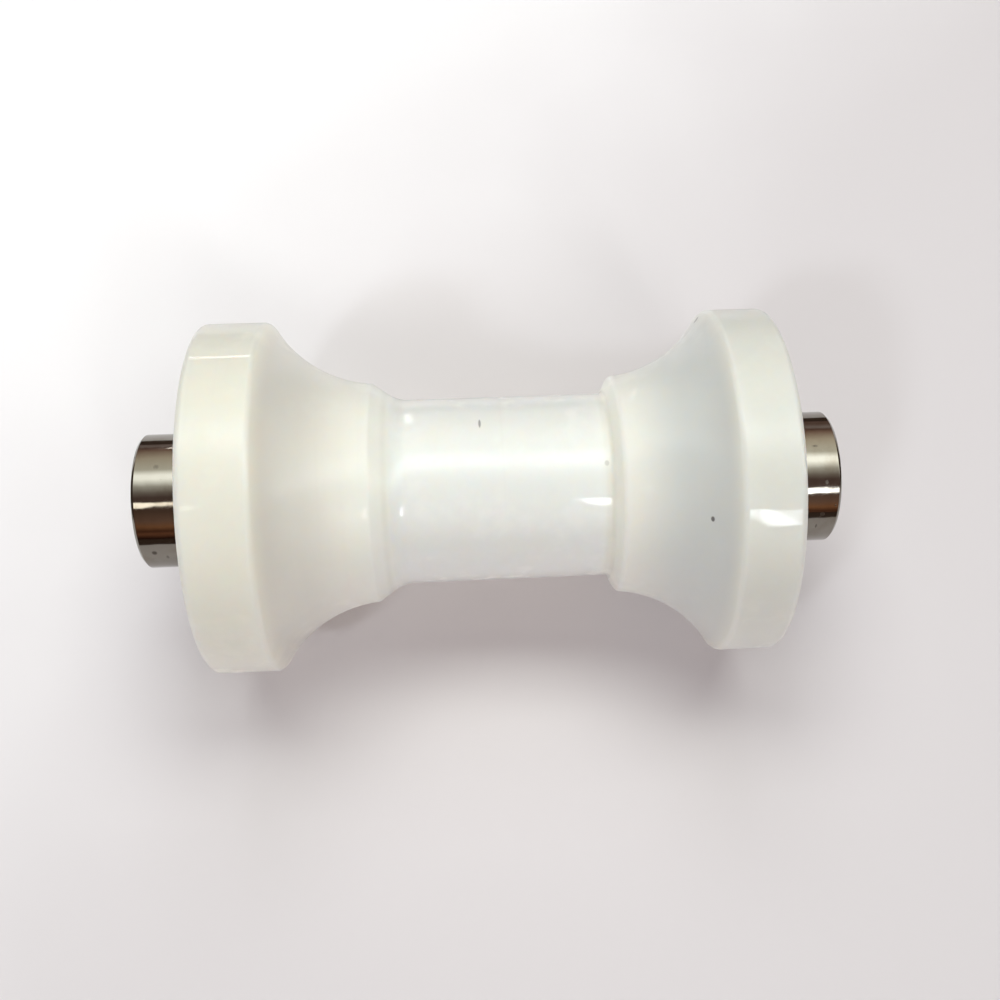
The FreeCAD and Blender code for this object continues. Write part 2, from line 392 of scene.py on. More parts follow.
@dataclass(frozen=True)
class MilkyNylon:
    """Natural nylon, turned on a lathe: milky, a little clouded, glossy where the rope and the hand run."""

    rim_radius: float
    barrel_radius: float
    creases: tuple[Crease, ...]
    marks: tuple[Mark, ...]
    name: str = "milky_nylon"
    milk: Colour = (0.87, 0.85, 0.735)
    # A darker cream: the painted shade of the flares and necks, and the tone of mottle and turning rings.
    cream: Colour = (0.775, 0.75, 0.675)
    # A paler cream: the barrel's own tone with painted light for the glow through its thin wall, and the
    # clouds.
    frost: Colour = (0.985, 0.96, 0.855)
    # Painted shade: the darker, bluer colour laid over the right end.
    right_shade: Colour = (0.61, 0.65, 0.65)
    # The colour of the painted shade in the creases.
    crease_shade: Colour = (0.55, 0.52, 0.45)
    dirt: Colour = (0.09, 0.075, 0.075)
    depth: float = 4.0 * MM
    cloud_scale: float = 30.0
    mottle_scale: float = 130.0
    ring_scale: float = 800.0
    grain_scale: float = 700.0
    wave_scale: float = 140.0
    ring_depth: float = 0.004 * MM
    grain_depth: float = 0.006 * MM
    wave_depth: float = 0.02 * MM
    # Painted shade: the right end is darker and cooler, from the first height along Y to the second.
    right_shade_start: float = 17.0 * MM
    right_shade_full: float = 32.0 * MM

    def make(self) -> bpy.types.Material:
        """The material."""
        s = Surface(self.name)
        cloud = s.noise(s.place, self.cloud_scale, 2.0)
        mottle = s.noise(s.place, self.mottle_scale, 4.0)
        rings = s.turning_marks(self.ring_scale)
        grain = s.noise(s.place, self.grain_scale, 2.0)
        wave = s.noise(s.place, self.wave_scale, 1.0)
        rim = s.smooth(s.radius, (self.rim_radius - 3.0) * MM, self.rim_radius * MM)
        barrel = 1.0 - s.smooth(s.radius, (self.barrel_radius + 1.0) * MM, (self.barrel_radius + 7.0) * MM)
        land = s.smooth(s.radius, (self.rim_radius - 0.6) * MM, (self.rim_radius - 0.1) * MM)
        worn = 1.0 - s.smooth(s.radius, (self.barrel_radius + 0.1) * MM, (self.barrel_radius + 0.8) * MM)
        gloss = s.smooth(mottle, 0.3, 0.5) * (0.3 + land * 0.25 + worn * 0.6)
        # Painted shade: the flares and necks are darker than the rims.
        colour = s.mix(rim, self.cream, self.milk)
        # Paler on the barrel: partly its own tone, partly painted light for the glow through its thin wall.
        colour = s.mix(barrel, colour, self.frost)
        colour = s.mix(s.smooth(cloud, 0.4, 0.7) * 0.3, colour, self.frost)
        # Painted shade over the right end: darker and bluer, a little less on the rim.
        right_shade_share = s.smooth(s.y, self.right_shade_start, self.right_shade_full) * (0.55 - rim * 0.2)
        colour = s.mix(right_shade_share, colour, self.right_shade)
        colour = s.mix(s.smooth(mottle, 0.5, 0.8) * 0.15, colour, self.cream)
        colour = s.mix(s.smooth(rings, 0.55, 0.8) * 0.1, colour, self.cream)
        # Painted shade: faint dark lines in the creases at the barrel's ends.
        for crease in self.creases:
            line = s.near(s.y, crease.place * MM, crease.reach * MM)
            colour = s.mix(line * (0.5 + mottle) * crease.strength, colour, self.crease_shade)
        for mark in self.marks:
            colour = s.mix(s.mark(mark), colour, self.dirt)
        normal = s.bump(wave, self.wave_depth)
        normal = s.bump(rings, self.ring_depth, normal)
        normal = s.bump(grain, self.grain_depth, normal)
        return s.finish({
            "Base Color": colour,
            "Roughness": 0.38 + mottle * 0.1,
            "Normal": normal,
            "Subsurface Weight": 1.0,
            "Subsurface Radius": (1.0, 0.85, 0.7),
            "Subsurface Scale": self.depth,
            "IOR": 1.5,
            "Sheen Weight": 0.45,
            "Sheen Roughness": 0.5,
            "Sheen Tint": (1.0, 0.97, 0.93, 1.0),
            "Coat Weight": gloss,
            "Coat Roughness": 0.04,
            "Coat IOR": 1.53,
        })


@dataclass(frozen=True)
class TurnedSteel:
    """Bare steel with marks that run round it: ground, lapped or polished, with stains and pits."""

    name: str
    colour: Colour
    stain: Colour
    roughness: float
    stained: float = 0.3
    pitted: float = 0.12
    marks: float = 3000.0
    mark_depth: float = 0.001 * MM
    wave_depth: float = 0.0
    specks: tuple[Mark, ...] = ()
    dirt: Colour = (0.05, 0.04, 0.03)
    haze_scale: float = 220.0
    wave_scale: float = 160.0
    pit_scale: float = 900.0
    pit_size: float = 0.16
    pit_depth: float = 0.03 * MM

    def make(self) -> bpy.types.Material:
        """The material."""
        s = Surface(self.name)
        rings = s.turning_marks(self.marks)
        haze = s.noise(s.place, self.haze_scale, 4.0)
        pits = s.spots(self.pit_scale, self.pitted, self.pit_size)
        dark = pits
        for speck in self.specks:
            dark = dark + s.mark(speck)
        colour = s.mix(s.smooth(haze, 0.45, 0.75) * self.stained, self.colour, self.stain)
        colour = s.mix(dark * 0.8, colour, self.dirt)
        normal = s.bump(rings, self.mark_depth)
        if self.wave_depth > 0.0:
            normal = s.bump(s.noise(s.place, self.wave_scale, 2.0), self.wave_depth, normal)
        normal = s.bump(1.0 - pits, self.pit_depth, normal)
        return s.finish({
            "Base Color": colour,
            "Metallic": 1.0,
            "Roughness": self.roughness + rings * 0.05 + haze * 0.06 + dark * 0.4,
            "Normal": normal,
        })


@dataclass(frozen=True)
class DrawnSteel:
    """Cold-drawn tube: fine lines along it and a film of old grease."""

    name: str = "drawn_steel"
    colour: Colour = (0.82, 0.81, 0.79)
    grease: Colour = (0.62, 0.55, 0.44)
    line_scale: float = 2500.0
    line_stretch: float = 0.02
    line_depth: float = 0.006 * MM
    film_scale: float = 120.0

    def make(self) -> bpy.types.Material:
        """The material."""
        s = Surface(self.name)
        lines = s.noise(s.join(s.x, s.y * self.line_stretch, s.z), self.line_scale, 2.0)
        film = s.noise(s.place, self.film_scale, 4.0)
        return s.finish({
            "Base Color": s.mix(s.smooth(film, 0.4, 0.8) * 0.6, self.colour, self.grease),
            "Metallic": 1.0,
            "Roughness": 0.28 + film * 0.2,
            "Normal": s.bump(lines, self.line_depth),
        })


@dataclass(frozen=True)
class MouldedPlastic:
    """Plain moulded plastic of the ball cages, with a fine grain and traces of grease."""

    name: str = "cage_plastic"
    colour: Colour = (0.60, 0.52, 0.36)
    grease: Colour = (0.34, 0.26, 0.14)
    grain_scale: float = 3000.0
    grain_depth: float = 0.006 * MM
    film_scale: float = 250.0

    def make(self) -> bpy.types.Material:
        """The material."""
        s = Surface(self.name)
        grain = s.noise(s.place, self.grain_scale, 2.0)
        film = s.noise(s.place, self.film_scale, 3.0)
        return s.finish({
            "Base Color": s.mix(s.smooth(film, 0.4, 0.75) * 0.5, self.colour, self.grease),
            "Roughness": 0.5 - film * 0.2,
            "Normal": s.bump(grain, self.grain_depth),
        })


@dataclass(frozen=True)
class SealRubber:
    """Black moulded rubber with a bloom of dust in its dish."""

    name: str = "seal_rubber"
    colour: Colour = (0.022, 0.022, 0.024)
    dust: Colour = (0.16, 0.145, 0.13)
    grain_scale: float = 2600.0
    grain_depth: float = 0.012 * MM
    ring_scale: float = 1200.0
    ring_depth: float = 0.01 * MM
    bloom_scale: float = 210.0

    def make(self) -> bpy.types.Material:
        """The material."""
        s = Surface(self.name)
        grain = s.noise(s.place, self.grain_scale, 3.0)
        bloom = s.noise(s.place, self.bloom_scale, 4.0)
        rings = s.turning_marks(self.ring_scale)
        share = s.smooth(bloom + rings * 0.3, 0.5, 0.95) * 0.5
        return s.finish({
            "Base Color": s.mix(share, self.colour, self.dust),
            "Roughness": 0.46 + share * 0.5,
            "Normal": s.bump(grain, self.grain_depth, s.bump(rings, self.ring_depth)),
        })


@dataclass(frozen=True)
class PaleFloor:
    """The pale floor, with a painted pool of light in one corner; sizes in metres.

    Where steel mirrors it, it ends like a table. Far off, the camera sees it fade into the backdrop.
    """

    name: str = "pale_floor"
    shade: Colour = (0.80, 0.752, 0.75)
    # Painted light: the floor's colour in its bright corner, and the glow that the camera sees there.
    light: Colour = (1.0, 0.97, 0.965)
    glare: Colour = (0.10, 0.10, 0.10)
    beyond: Colour = (0.06, 0.035, 0.025)
    haze: Colour = (0.80, 0.785, 0.79)
    black: Colour = (0.0, 0.0, 0.0)
    front: float = 0.15
    back: float = -0.17
    side: float = 0.16
    edge: float = 0.01
    # The way to the corner of painted light along X and Y, and where that light starts and is full.
    corner: tuple[float, float] = (-0.68, -0.75)
    bright_start: float = 0.01
    bright_full: float = 0.16
    fade_start: float = 0.25
    fade_full: float = 1.3
    cloud_scale: float = 14.0
    grain_scale: float = 400.0
    grain_depth: float = 0.02 * MM

    def make(self) -> bpy.types.Material:
        """The material."""
        s = Surface(self.name)
        cloud = s.noise(s.place, self.cloud_scale, 2.0)
        across = s.x * self.corner[0] + s.y * self.corner[1]
        # Painted light: a pool of light painted towards one corner.
        painted_pool = s.smooth(across + cloud * 0.05, self.bright_start, self.bright_full)
        ends = s.smooth(s.x, self.front, self.front + self.edge)
        ends = ends + 1.0 - s.smooth(s.x, self.back - self.edge, self.back)
        ends = ends + s.smooth((s.y * s.y) ** 0.5, self.side, self.side + self.edge)
        far = s.smooth((s.x * s.x + s.y * s.y) ** 0.5, self.fade_start, self.fade_full)
        mirror = s.node("LightPath", {}, {}, "Is Glossy Ray")
        camera = s.node("LightPath", {}, {}, "Is Camera Ray")
        # Painted light: the pool pales the floor's colour, and for the camera it also glows there.
        table = s.mix(painted_pool, self.shade, self.light)
        painted_glow = s.mix(camera * painted_pool, self.black, self.glare)
        return s.finish({
            "Base Color": s.mix(mirror * ends, table, self.beyond),
            "Emission Color": s.mix(camera * far, painted_glow, self.haze),
            "Emission Strength": 1.0,
            "Roughness": 0.85,
            "Specular IOR Level": 0.2,
            "Normal": s.bump(s.noise(s.place, self.grain_scale, 3.0), self.grain_depth),
        })


@dataclass(frozen=True)
class Corner:
    """A corner of a half section, in millimetres, and the rounding or the hollow arc that it has."""

    radius: float
    height: float
    rounding: float = 0.0
    hollow: float = 0.0


class HalfSection:
    """A closed half section in the XY plane, drawn corner by corner and turned round the Y axis.

    The radius lies along X and the height along Y. The corners run anticlockwise. A corner's hollow is the
    radius of the arc that leaves it, whose centre lies outside the section.
    """

    ARC_STEPS = 24
    ROUNDING_STEPS = 5
    SMOOTH_ANGLE = math.radians(38.0)

    def __init__(self, name: str, corners: Sequence[Corner]) -> None:
        """Draws the section.

        Args:
            name: the piece's name.
            corners: its corners, anticlockwise.
        """
        bpy.ops.object.select_all(action="DESELECT")
        bpy.ops.mesh.primitive_plane_add(size=MM)
        self.piece = bpy.context.object
        self.piece.name = name
        self.piece.data.name = name
        bpy.ops.object.mode_set(mode="EDIT")
        bpy.ops.mesh.select_all(action="SELECT")
        bpy.ops.mesh.merge(type="CENTER")
        bpy.ops.transform.translate(value=self._point(corners[0]))
        for corner, following in zip(corners, (*corners[1:], corners[0])):
            if corner.hollow:
                self._arc(corner, following)
            else:
                step = self._point(following) - self._point(corner)
                bpy.ops.mesh.extrude_vertices_move(TRANSFORM_OT_translate={"value": step})
        self._merge()
        for corner in corners:
            if corner.rounding:
                self._round(corner)

    @staticmethod
    def _point(corner: Corner) -> Vector:
        """A corner's place, in metres."""
        return Vector((corner.radius, corner.height, 0.0)) * MM

    @staticmethod
    def _merge() -> None:
        """Joins the points that lie on each other."""
        bpy.ops.mesh.select_all(action="SELECT")
        bpy.ops.mesh.remove_doubles(threshold=TOUCH)

    def _arc(self, corner: Corner, following: Corner) -> None:
        """Carries the line on along a hollow arc.

        Args:
            corner: where the arc starts.
            following: where it ends.
        """
        start, end = self._point(corner), self._point(following)
        along = end - start
        outward = Vector((along.y, -along.x, 0.0)).normalized()
        half = along.length / 2
        radius = corner.hollow * MM
        centre = (start + end) / 2 + outward * math.sqrt(radius ** 2 - half ** 2)
        angle = 2 * math.asin(half / radius)
        bpy.ops.mesh.spin(steps=self.ARC_STEPS, angle=angle, center=centre, axis=(0, 0, 1))

    def _round(self, corner: Corner) -> None:
        """Rounds a corner.

        Args:
            corner: the corner, whose two sides give the angle.
        """
        place = self._point(corner)
        edit = bmesh.from_edit_mesh(self.piece.data)
        for vertex in edit.verts:
            vertex.select_set((vertex.co - place).length < TOUCH)
        tip = next(vertex for vertex in edit.verts if vertex.select)
        sides = [edge.other_vert(tip).co - tip.co for edge in tip.link_edges]
        setback = corner.rounding * MM / math.tan(sides[0].angle(sides[1]) / 2)
        edit.select_flush_mode()
        bmesh.update_edit_mesh(self.piece.data)
        bpy.ops.mesh.bevel(offset=setback, segments=self.ROUNDING_STEPS, affect="VERTICES")

    def turned(self, steps: int) -> bpy.types.Object:
        """Turns the section into a closed piece.

        Args:
            steps: the number of facets round the axis.

        Returns:
            The piece, smooth across all but its sharp edges.
        """
        bpy.ops.mesh.select_all(action="SELECT")
        bpy.ops.mesh.spin(steps=steps, angle=math.tau, center=(0, 0, 0), axis=(0, 1, 0))
        self._merge()
        bpy.ops.mesh.normals_make_consistent(inside=False)
        bpy.ops.object.mode_set(mode="OBJECT")
        bpy.ops.object.shade_smooth_by_angle(angle=self.SMOOTH_ANGLE)
        weighting = self.piece.modifiers.new("weighting", "WEIGHTED_NORMAL")
        weighting.keep_sharp = True
        bpy.ops.object.modifier_apply(modifier=weighting.name)
        return self.piece


def facing(corners: Sequence[Corner], direction: int, shift: float = 0.0) -> list[Corner]:
    """A section made round the origin, put at its height and turned to face one way along Y.

    Args:
        corners: the section's corners, facing +Y; none has a hollow that a mirror would bulge.
        direction: 1 to keep it, -1 to mirror it.
        shift: how far it is moved along +Y before the mirroring.

    Returns:
        The corners, still anticlockwise.
    """
    moved = [Corner(c.radius, direction * (c.height + shift), c.rounding) for c in corners]
    return moved if direction > 0 else moved[::-1]


def settle(piece: bpy.types.Object, body: str, material: bpy.types.Material) -> None:
    """Dresses a new piece and lets it stand for the CAD node of its name.

    Args:
        piece: the piece, named after its node with an ending of its own.
        body: the body that it moves with.
        material: its finish.
    """
    node = piece.name.removesuffix("_turned")
    piece.data.materials.append(material)
    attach(piece, body)
    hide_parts(node)
    LOG.info("%s: %d faces, in %s", piece.name, len(piece.data.polygons), material.name)


def dress(node: str, material: bpy.types.Material) -> None:
    """Gives a CAD node its finish.

    Args:
        node: the node's name.
        material: its material.
    """
    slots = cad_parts[node].data.materials
    slots.clear()
    slots.append(material)
    LOG.info("%s dressed in %s", node, material.name)


@dataclass
class NylonWheel:
    """The turned nylon wheel; sizes in millimetres."""

    flange_radius: float = 30.0
    end: float = 48.0
    left_rim: float = -36.95
    right_rim: float = 38.05
    rim_round: float = 1.2
    flare_radius: float = 21.0
    neck_radius: float = 19.0
    left_neck: float = -20.05
    right_neck: float = 21.15
    neck_round: float = 1.0
    barrel_radius: float = 16.0
    bevel: float = 4.2
    shoulder: float = 1.5
    bevel_root: float = 5.0
    shoulder_root: float = 0.8
    seat_radius: float = 21.02
    seat_end: float = 34.0
    relief_radius: float = 17.5
    relief_end: float = 32.5
    core_radius: float = 11.8
    mouth_chamfer: float = 0.8
    # Where the lines of painted shade lie, in bevels from the left neck and shoulders from the right one.
    bevel_crease: float = 0.54
    shoulder_crease: float = 1.4
    facets: int = 224
    marks: tuple[Mark, ...] = (
        Mark((-5.08, -1.88, 15.17), (1.30, 0.26, 0.8), 0.65),
        Mark((15.40, 34.07, 19.41), (0.55, 0.40, 0.55)),
        Mark((-24.98, 37.08, 13.46), (0.9, 0.6, 1.2)),
        Mark((3.24, 18.66, 15.67), (0.6, 0.5, 0.6), 0.3),
    )

    def bore(self) -> list[Corner]:
        """The stepped bore of the right end, from its mouth inwards."""
        return [
            Corner(self.seat_radius + self.mouth_chamfer, self.end),
            Corner(self.seat_radius, self.end - self.mouth_chamfer),
            Corner(self.seat_radius, self.seat_end),
            Corner(self.relief_radius, self.seat_end),
            Corner(self.relief_radius, self.relief_end),
            Corner(self.core_radius, self.relief_end),
        ]

    def build(self) -> bpy.types.Object:
        """Turns the wheel."""
        outside = [
            Corner(self.flange_radius, -self.end, self.rim_round),
            Corner(self.flange_radius, self.left_rim, self.rim_round, self.flare_radius),
            Corner(self.neck_radius, self.left_neck, self.neck_round),
            Corner(self.barrel_radius, self.left_neck + self.bevel, self.bevel_root),
            Corner(self.barrel_radius, self.right_neck - self.shoulder, self.shoulder_root),
            Corner(self.neck_radius, self.right_neck, self.neck_round, self.flare_radius),
            Corner(self.flange_radius, self.right_rim, self.rim_round),
            Corner(self.flange_radius, self.end, self.rim_round),
        ]
        bore = self.bore()
        section = HalfSection("roller_body_turned", outside + bore + facing(bore, -1))
        return section.turned(self.facets)

    def dress(self, piece: bpy.types.Object) -> None:
        """Gives the wheel its nylon."""
        creases = (
            Crease(self.left_neck + self.bevel_crease * self.bevel, 0.8, 0.14),
            Crease(self.right_neck - self.shoulder_crease * self.shoulder, 1.2, 0.22),
        )
        nylon = MilkyNylon(self.flange_radius, self.barrel_radius, creases, self.marks)
        settle(piece, "wheel", nylon.make())


@dataclass
class BallBearing:
    """One sealed ball bearing; sizes in millimetres, heights from the bearing's middle."""

    end: End
    middle: float = 40.0
    half_width: float = 6.0
    bore_radius: float = 10.0
    outside_radius: float = 21.0
    chamfer: float = 0.6
    inner_land: float = 13.565
    outer_land: float = 17.435
    race_half: float = 2.604
    race_radius: float = 3.305
    seal_groove: float = 18.485
    seal_catch: float = 0.3
    seal_gap: float = 0.05
    seal_out: float = 5.6
    seal_in: float = 4.7
    seal_lip_gap: float = 0.1
    seal_border: float = 1.2
    seal_dish: float = 0.25
    seal_round: float = 0.12
    facets: int = 160

    def inner_ring(self) -> bpy.types.Object:
        """Turns the ring that holds the bush's spigot, with the ball track round it."""
        half, bore = self.half_width, self.bore_radius
        edge = [Corner(bore + self.chamfer, half), Corner(bore, half - self.chamfer)]
        track = [
            Corner(self.inner_land, -half),
            Corner(self.inner_land, -self.race_half, 0.0, self.race_radius),
            Corner(self.inner_land, self.race_half),
            Corner(self.inner_land, half),
        ]
        return self._turned("inner_ring", track + edge + facing(edge, -1))

    def outer_ring(self) -> bpy.types.Object:
        """Turns the ring that sits in the nylon, with a ball track and two seal grooves inside."""
        half, outside = self.half_width, self.outside_radius
        catch = self.seal_groove - self.seal_catch
        upper = [
            Corner(outside, half - self.chamfer),
            Corner(outside - self.chamfer, half),
            Corner(catch, half),
            Corner(catch, self.seal_out + self.seal_gap),
            Corner(self.seal_groove, self.seal_out + self.seal_gap),
            Corner(self.seal_groove, self.seal_in),
            Corner(self.outer_land, self.seal_in),
        ]
        track = [
            Corner(self.outer_land, self.race_half, 0.0, self.race_radius),
            Corner(self.outer_land, -self.race_half),
        ]
        return self._turned("outer_ring", upper + track + facing(upper, -1))

    def seal(self, face: SealFace) -> bpy.types.Object:
        """Turns a dished rubber seal.

        Args:
            face: which of the two.

        Returns:
            The seal.
        """
        edge, lip = self.seal_groove - self.seal_gap, self.inner_land + self.seal_lip_gap
        dish = self.seal_out - self.seal_dish
        soft = self.seal_round
        corners = [
            Corner(edge, self.seal_in),
            Corner(edge, self.seal_out),
            Corner(edge - self.seal_border, self.seal_out, soft),
            Corner(edge - self.seal_border - self.seal_dish, dish, soft),
            Corner(lip + self.seal_border + self.seal_dish, dish, soft),
            Corner(lip + self.seal_border, self.seal_out, soft),
            Corner(lip, self.seal_out, soft),
            Corner(lip, self.seal_in),
        ]
        return self._turned(f"{face.value}_seal", facing(corners, face.facing))

    def _turned(self, piece: str, corners: Sequence[Corner]) -> bpy.types.Object:
        """Turns one piece at its place in this end of the wheel.

        Args:
            piece: the piece's name.
            corners: its section round the bearing's middle.

        Returns:
            The piece.
        """
        height = self.end.direction * self.middle
        placed = [Corner(c.radius, c.height + height, c.rounding, c.hollow) for c in corners]
        return HalfSection(f"bearing_{piece}_{self.end.value}_turned", placed).turned(self.facets)

    def build(self) -> dict[str, list[bpy.types.Object]]:
        """Turns the rings and seals.

        Returns:
            The pieces, by kind.
        """
        seals = [self.seal(face) for face in SealFace]
        return {"inner": [self.inner_ring()], "outer": [self.outer_ring()], "seals": seals}

    def dress(self, pieces: dict[str, list[bpy.types.Object]], finishes: "Finishes") -> None:
        """Gives the pieces their steel and rubber, and the hidden balls and cage theirs.

        Args:
            pieces: what build returned.
            finishes: the materials.
        """
        for piece in pieces["inner"]:
            settle(piece, "axle", finishes.ground)
        for piece in pieces["outer"]:
            settle(piece, "wheel", finishes.ground)
        for piece in pieces["seals"]:
            settle(piece, "wheel", finishes.rubber)
        dress(f"bearing_balls_{self.end.value}", finishes.balls)
        dress(f"bearing_cage_{self.end.value}", finishes.cage)


@dataclass
class EndBush:
    """A polished end bush; sizes in millimetres."""

    end: End
    radius: float = 11.5
    outer_face: float = 59.25
    shoulder: float = 46.0
    bore_radius: float = 6.1
    spigot_radius: float = 9.99
    spigot_end: float = 38.0
    chamfer: float = 0.5
    edge_round: float = 0.1
    facets: int = 192

    def build(self) -> bpy.types.Object:
        """Turns the bush."""
        soft = self.edge_round
        corners = [
            Corner(self.spigot_radius - self.chamfer, self.spigot_end),
            Corner(self.spigot_radius, self.spigot_end + self.chamfer),
            Corner(self.spigot_radius, self.shoulder),
            Corner(self.radius, self.shoulder),
            Corner(self.radius, self.outer_face - self.chamfer, soft),
            Corner(self.radius - self.chamfer, self.outer_face, soft),
            Corner(self.bore_radius + self.chamfer, self.outer_face, soft),
            Corner(self.bore_radius, self.outer_face - self.chamfer, soft),
            Corner(self.bore_radius, self.spigot_end),
        ]
        section = HalfSection(f"end_bush_{self.end.value}_turned", facing(corners, self.end.direction))
        return section.turned(self.facets)

    def dress(self, piece: bpy.types.Object, finishes: "Finishes") -> None:
        """Gives the bush its polished steel."""
        settle(piece, "axle", finishes.polished)


@dataclass
class SpacerTube:
    """The tube between the two inner rings; sizes in millimetres."""

    radius: float = 11.5
    bore_radius: float = 10.2
    end: float = 34.0
    facets: int = 128

    def build(self) -> bpy.types.Object:
        """Turns the tube."""
        upper = [Corner(self.radius, self.end), Corner(self.bore_radius, self.end)]
        return HalfSection("spacer_tube_turned", upper + facing(upper, -1)).turned(self.facets)

    def dress(self, piece: bpy.types.Object) -> None:
        """Gives the tube its drawn steel."""
        settle(piece, "axle", DrawnSteel().make())


class Finishes:
    """The materials that pieces at both ends share."""

    def __init__(self) -> None:
        """Makes them."""
        brown = (0.30, 0.21, 0.14)
        rust = (0.12, 0.08, 0.045)
        self.polished = TurnedSteel(
            "polished_steel", (0.25, 0.232, 0.20), rust, roughness=0.03,
            wave_depth=0.05 * MM, specks=BUSH_SPECKS,
        ).make()
        self.ground = TurnedSteel(
            "ground_steel", (0.56, 0.56, 0.565), brown, roughness=0.18,
            stained=0.2, pitted=0.02, marks=2200.0, mark_depth=0.003 * MM,
        ).make()
        self.balls = TurnedSteel(
            "lapped_steel", (0.64, 0.64, 0.65), brown, roughness=0.03,
            stained=0.15, pitted=0.0,
        ).make()
        self.cage = MouldedPlastic().make()
        self.rubber = SealRubber().make()


@dataclass(frozen=True)
class PhotoCamera:
    """The camera, placed by where the wheel lies in its view."""

    focal_length: float = 41.686
    sensor: float = 36.0
    shift: tuple[float, float] = (-0.0417, -0.0132)
    right: float = -8.803 * MM
    down: float = 0.257 * MM
    away: float = 204.046 * MM
    turn: float = 0.0652
    roll: float = -0.0382
    elevation: float = math.radians(66.0)

    def matrix(self) -> Matrix:
        """The camera's place in the wheel's frame.

        Returns:
            The camera's world matrix.
        """
        axle = Vector((
            math.cos(self.turn) * math.cos(self.roll),
            -math.cos(self.turn) * math.sin(self.roll),
            -math.sin(self.turn),
        ))
        towards = Vector((0.0, 0.0, 1.0))
        towards = (towards - axle * towards.dot(axle)).normalized()
        upwards = towards.cross(axle)
        up = towards * math.sin(self.elevation) + upwards * math.cos(self.elevation)
        across = axle.cross(up)
        wheel = Matrix((across, axle, up)).transposed().to_4x4()
        wheel.translation = Vector((self.right, -self.down, -self.away))
        return wheel.inverted()

    def build(self) -> None:
        """Makes the camera and gives it to the scene."""
        data = bpy.data.cameras.new("photo_camera")
        data.lens = self.focal_length
        data.sensor_width = self.sensor
        data.shift_x, data.shift_y = self.shift
        data.clip_start = 1.0 * MM
        camera = bpy.data.objects.new("photo_camera", data)
        camera.matrix_world = self.matrix()
        bpy.context.scene.collection.objects.link(camera)
        bpy.context.scene.camera = camera


@dataclass(frozen=True)
class Lamp:
    """A rectangular lamp that looks at the wheel; sizes and places in metres.

    Irradiance is what it gives a surface at the origin that faces it, where pi lights white to white.
    """

    name: str
    place: tuple[float, float, float]
    width: float
    height: float
    irradiance: float
    colour: Colour = (1.0, 1.0, 1.0)
    mirrored: bool = False

    def build(self) -> None:
        """Makes the lamp."""
        data = bpy.data.lights.new(self.name, "AREA")
        data.shape = "RECTANGLE"
        data.size = self.width
        data.size_y = self.height
        data.color = self.colour
        place = Vector(self.place)
        # An area lamp of power P gives P / (pi * distance squared) straight ahead.
        data.energy = self.irradiance * math.pi * place.length_squared
        lamp = bpy.data.objects.new(self.name, data)
        lamp.location = place
        lamp.rotation_euler = (-place).to_track_quat("-Z", "Y").to_euler()
        lamp.visible_glossy = self.mirrored
        bpy.context.scene.collection.objects.link(lamp)


@dataclass(frozen=True)
class RoomBand:
    """A part of the room that shiny pieces mirror: the height it lies at, and its colour."""

    name: str
    height: float
    colour: Colour


